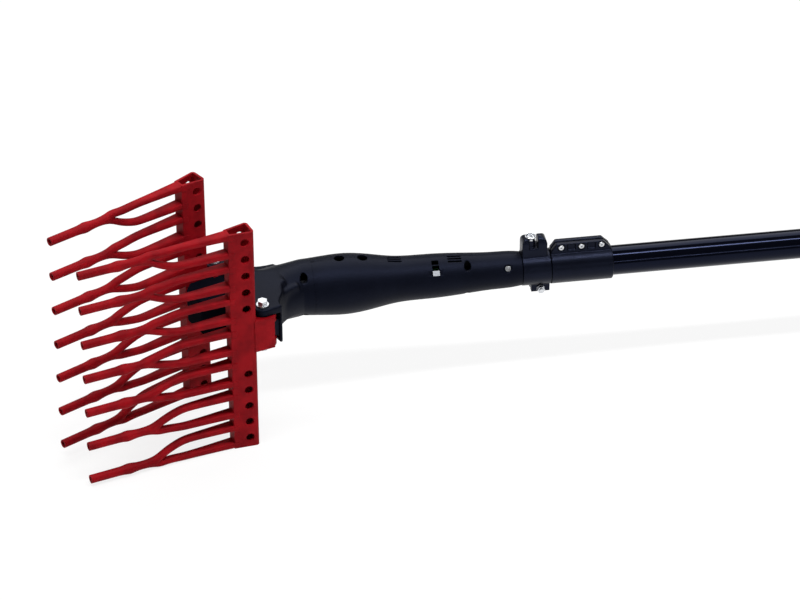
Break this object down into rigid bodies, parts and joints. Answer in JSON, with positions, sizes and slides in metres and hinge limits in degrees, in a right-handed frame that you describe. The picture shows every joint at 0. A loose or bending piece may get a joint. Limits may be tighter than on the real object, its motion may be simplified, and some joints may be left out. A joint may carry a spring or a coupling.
{
  "type": "electric olive harvester",
  "caption": "Pole-held olive harvester: two red combs of forked tines clap on a bent black motor head, carried by a grooved pole with a rear trigger handle.",
  "frame": {"origin": "mouth of the cable inlet at the rear end of the tool, on the pole's axis", "axes": "+X back along the pole, out of the cable inlet; +Z along the comb bars; +Y towards the far comb"},
  "size_m": [1.349, 0.1901, 0.298],
  "materials": {
    "red_plastic": "moulded red nylon, half gloss",
    "black_plastic": "moulded black nylon, fine texture",
    "coated_aluminium": "black gloss coating on a grooved tube",
    "black_rubber": "matt",
    "lead_sheath": "smooth sheath",
    "bronze": "sintered bronze",
    "motor_metal": "plain metal",
    "switch_plastic": "moulded",
    "board": "coated circuit board",
    "window_plastic": "translucent grey",
    "zinc_steel": "bright zinc plate"
  },
  "bodies": {
    "pole_and_housing": {"cable_gland": "black_plastic", "clamp_bolt": "zinc_steel", "clamp_ring": "black_plastic", "collar_screws": "zinc_steel", "control_board": "board", "crank_bearing": "bronze", "crosshead_guide": "bronze", "far_pivot_bolt": "zinc_steel", "far_pivot_nut": "zinc_steel", "front_grommet": "black_rubber", "gear_case": "motor_metal", "housing_far_half": "black_plastic", "housing_near_half": "black_plastic", "housing_screws": "zinc_steel", "micro_switch": "switch_plastic", "motor": "motor_metal", "motor_brush_cap": "switch_plastic", "near_pivot_bolt": "zinc_steel", "near_pivot_nut": "zinc_steel", "pinch_bolt": "zinc_steel", "pinch_nut": "zinc_steel", "pole": "coated_aluminium", "pole_collar": "black_plastic", "pole_lead": "lead_sheath", "rear_cap": "black_plastic", "rear_grip": "black_rubber", "rear_grommet": "black_rubber", "rear_handle": "black_plastic", "status_window": "window_plastic", "tail_tube": "coated_aluminium", "tail_tube_screw": "zinc_steel", "trigger_pin": "zinc_steel"},
    "near_comb": {"near_comb_bar": "red_plastic", "near_drive_pin": "zinc_steel", "near_pivot_bushes": "bronze", "near_tine_1": "red_plastic", "near_tine_2": "red_plastic", "near_tine_3": "red_plastic", "near_tine_4": "red_plastic", "near_tine_5": "red_plastic", "near_tine_6": "red_plastic", "near_tine_7": "red_plastic"},
    "far_comb": {"far_comb_bar": "red_plastic", "far_drive_pin": "zinc_steel", "far_pivot_bushes": "bronze", "far_tine_1": "red_plastic", "far_tine_2": "red_plastic", "far_tine_3": "red_plastic", "far_tine_4": "red_plastic", "far_tine_5": "red_plastic", "far_tine_6": "red_plastic", "far_tine_7": "red_plastic"},
    "crosshead": {"crosshead": "zinc_steel"},
    "crank": {"crank_shaft": "zinc_steel", "crank_roller": "zinc_steel"},
    "trigger": {"switch_trigger": "black_plastic"}
  },
  "joints": [
    {"name": "near_comb_swing", "type": "hinge", "parent": "pole_and_housing", "child": "near_comb", "pos_m": [-1.11212, -0.08126, 0.0035], "axis": [0, 0, -1], "range_deg": [-7, 7]},
    {"name": "far_comb_swing", "type": "hinge", "parent": "pole_and_housing", "child": "far_comb", "pos_m": [-1.15589, 0.01966, 0.0035], "axis": [0, 0, 1], "range_deg": [-7, 7]},
    {"name": "crosshead_slide", "type": "slide", "parent": "pole_and_housing", "child": "crosshead", "axis": [0.9174, 0.3979, 0], "range_m": [-0.0032, 0.0032]},
    {"name": "crank_turn", "type": "hinge", "parent": "pole_and_housing", "child": "crank", "pos_m": [-1.08997, -0.0117, 0.0035], "axis": [0, 0, 1], "range_deg": [-90.5, 90.5]},
    {"name": "trigger_press", "type": "hinge", "parent": "pole_and_housing", "child": "trigger", "pos_m": [-0.132, -0.023, 0], "axis": [0, 0, 1], "range_deg": [0, 5], "stiffness_Nm_per_rad": 1, "springref_deg": -2.86}
  ],
  "couplings": [
    {"joint": "far_comb_swing", "follows": "near_comb_swing", "ratio": 1},
    {"joint": "crosshead_slide", "follows": "near_comb_swing", "m_per_rad": 0.025822},
    {"joint": "crank_turn", "follows": "near_comb_swing", "ratio": 12.857}
  ]
}
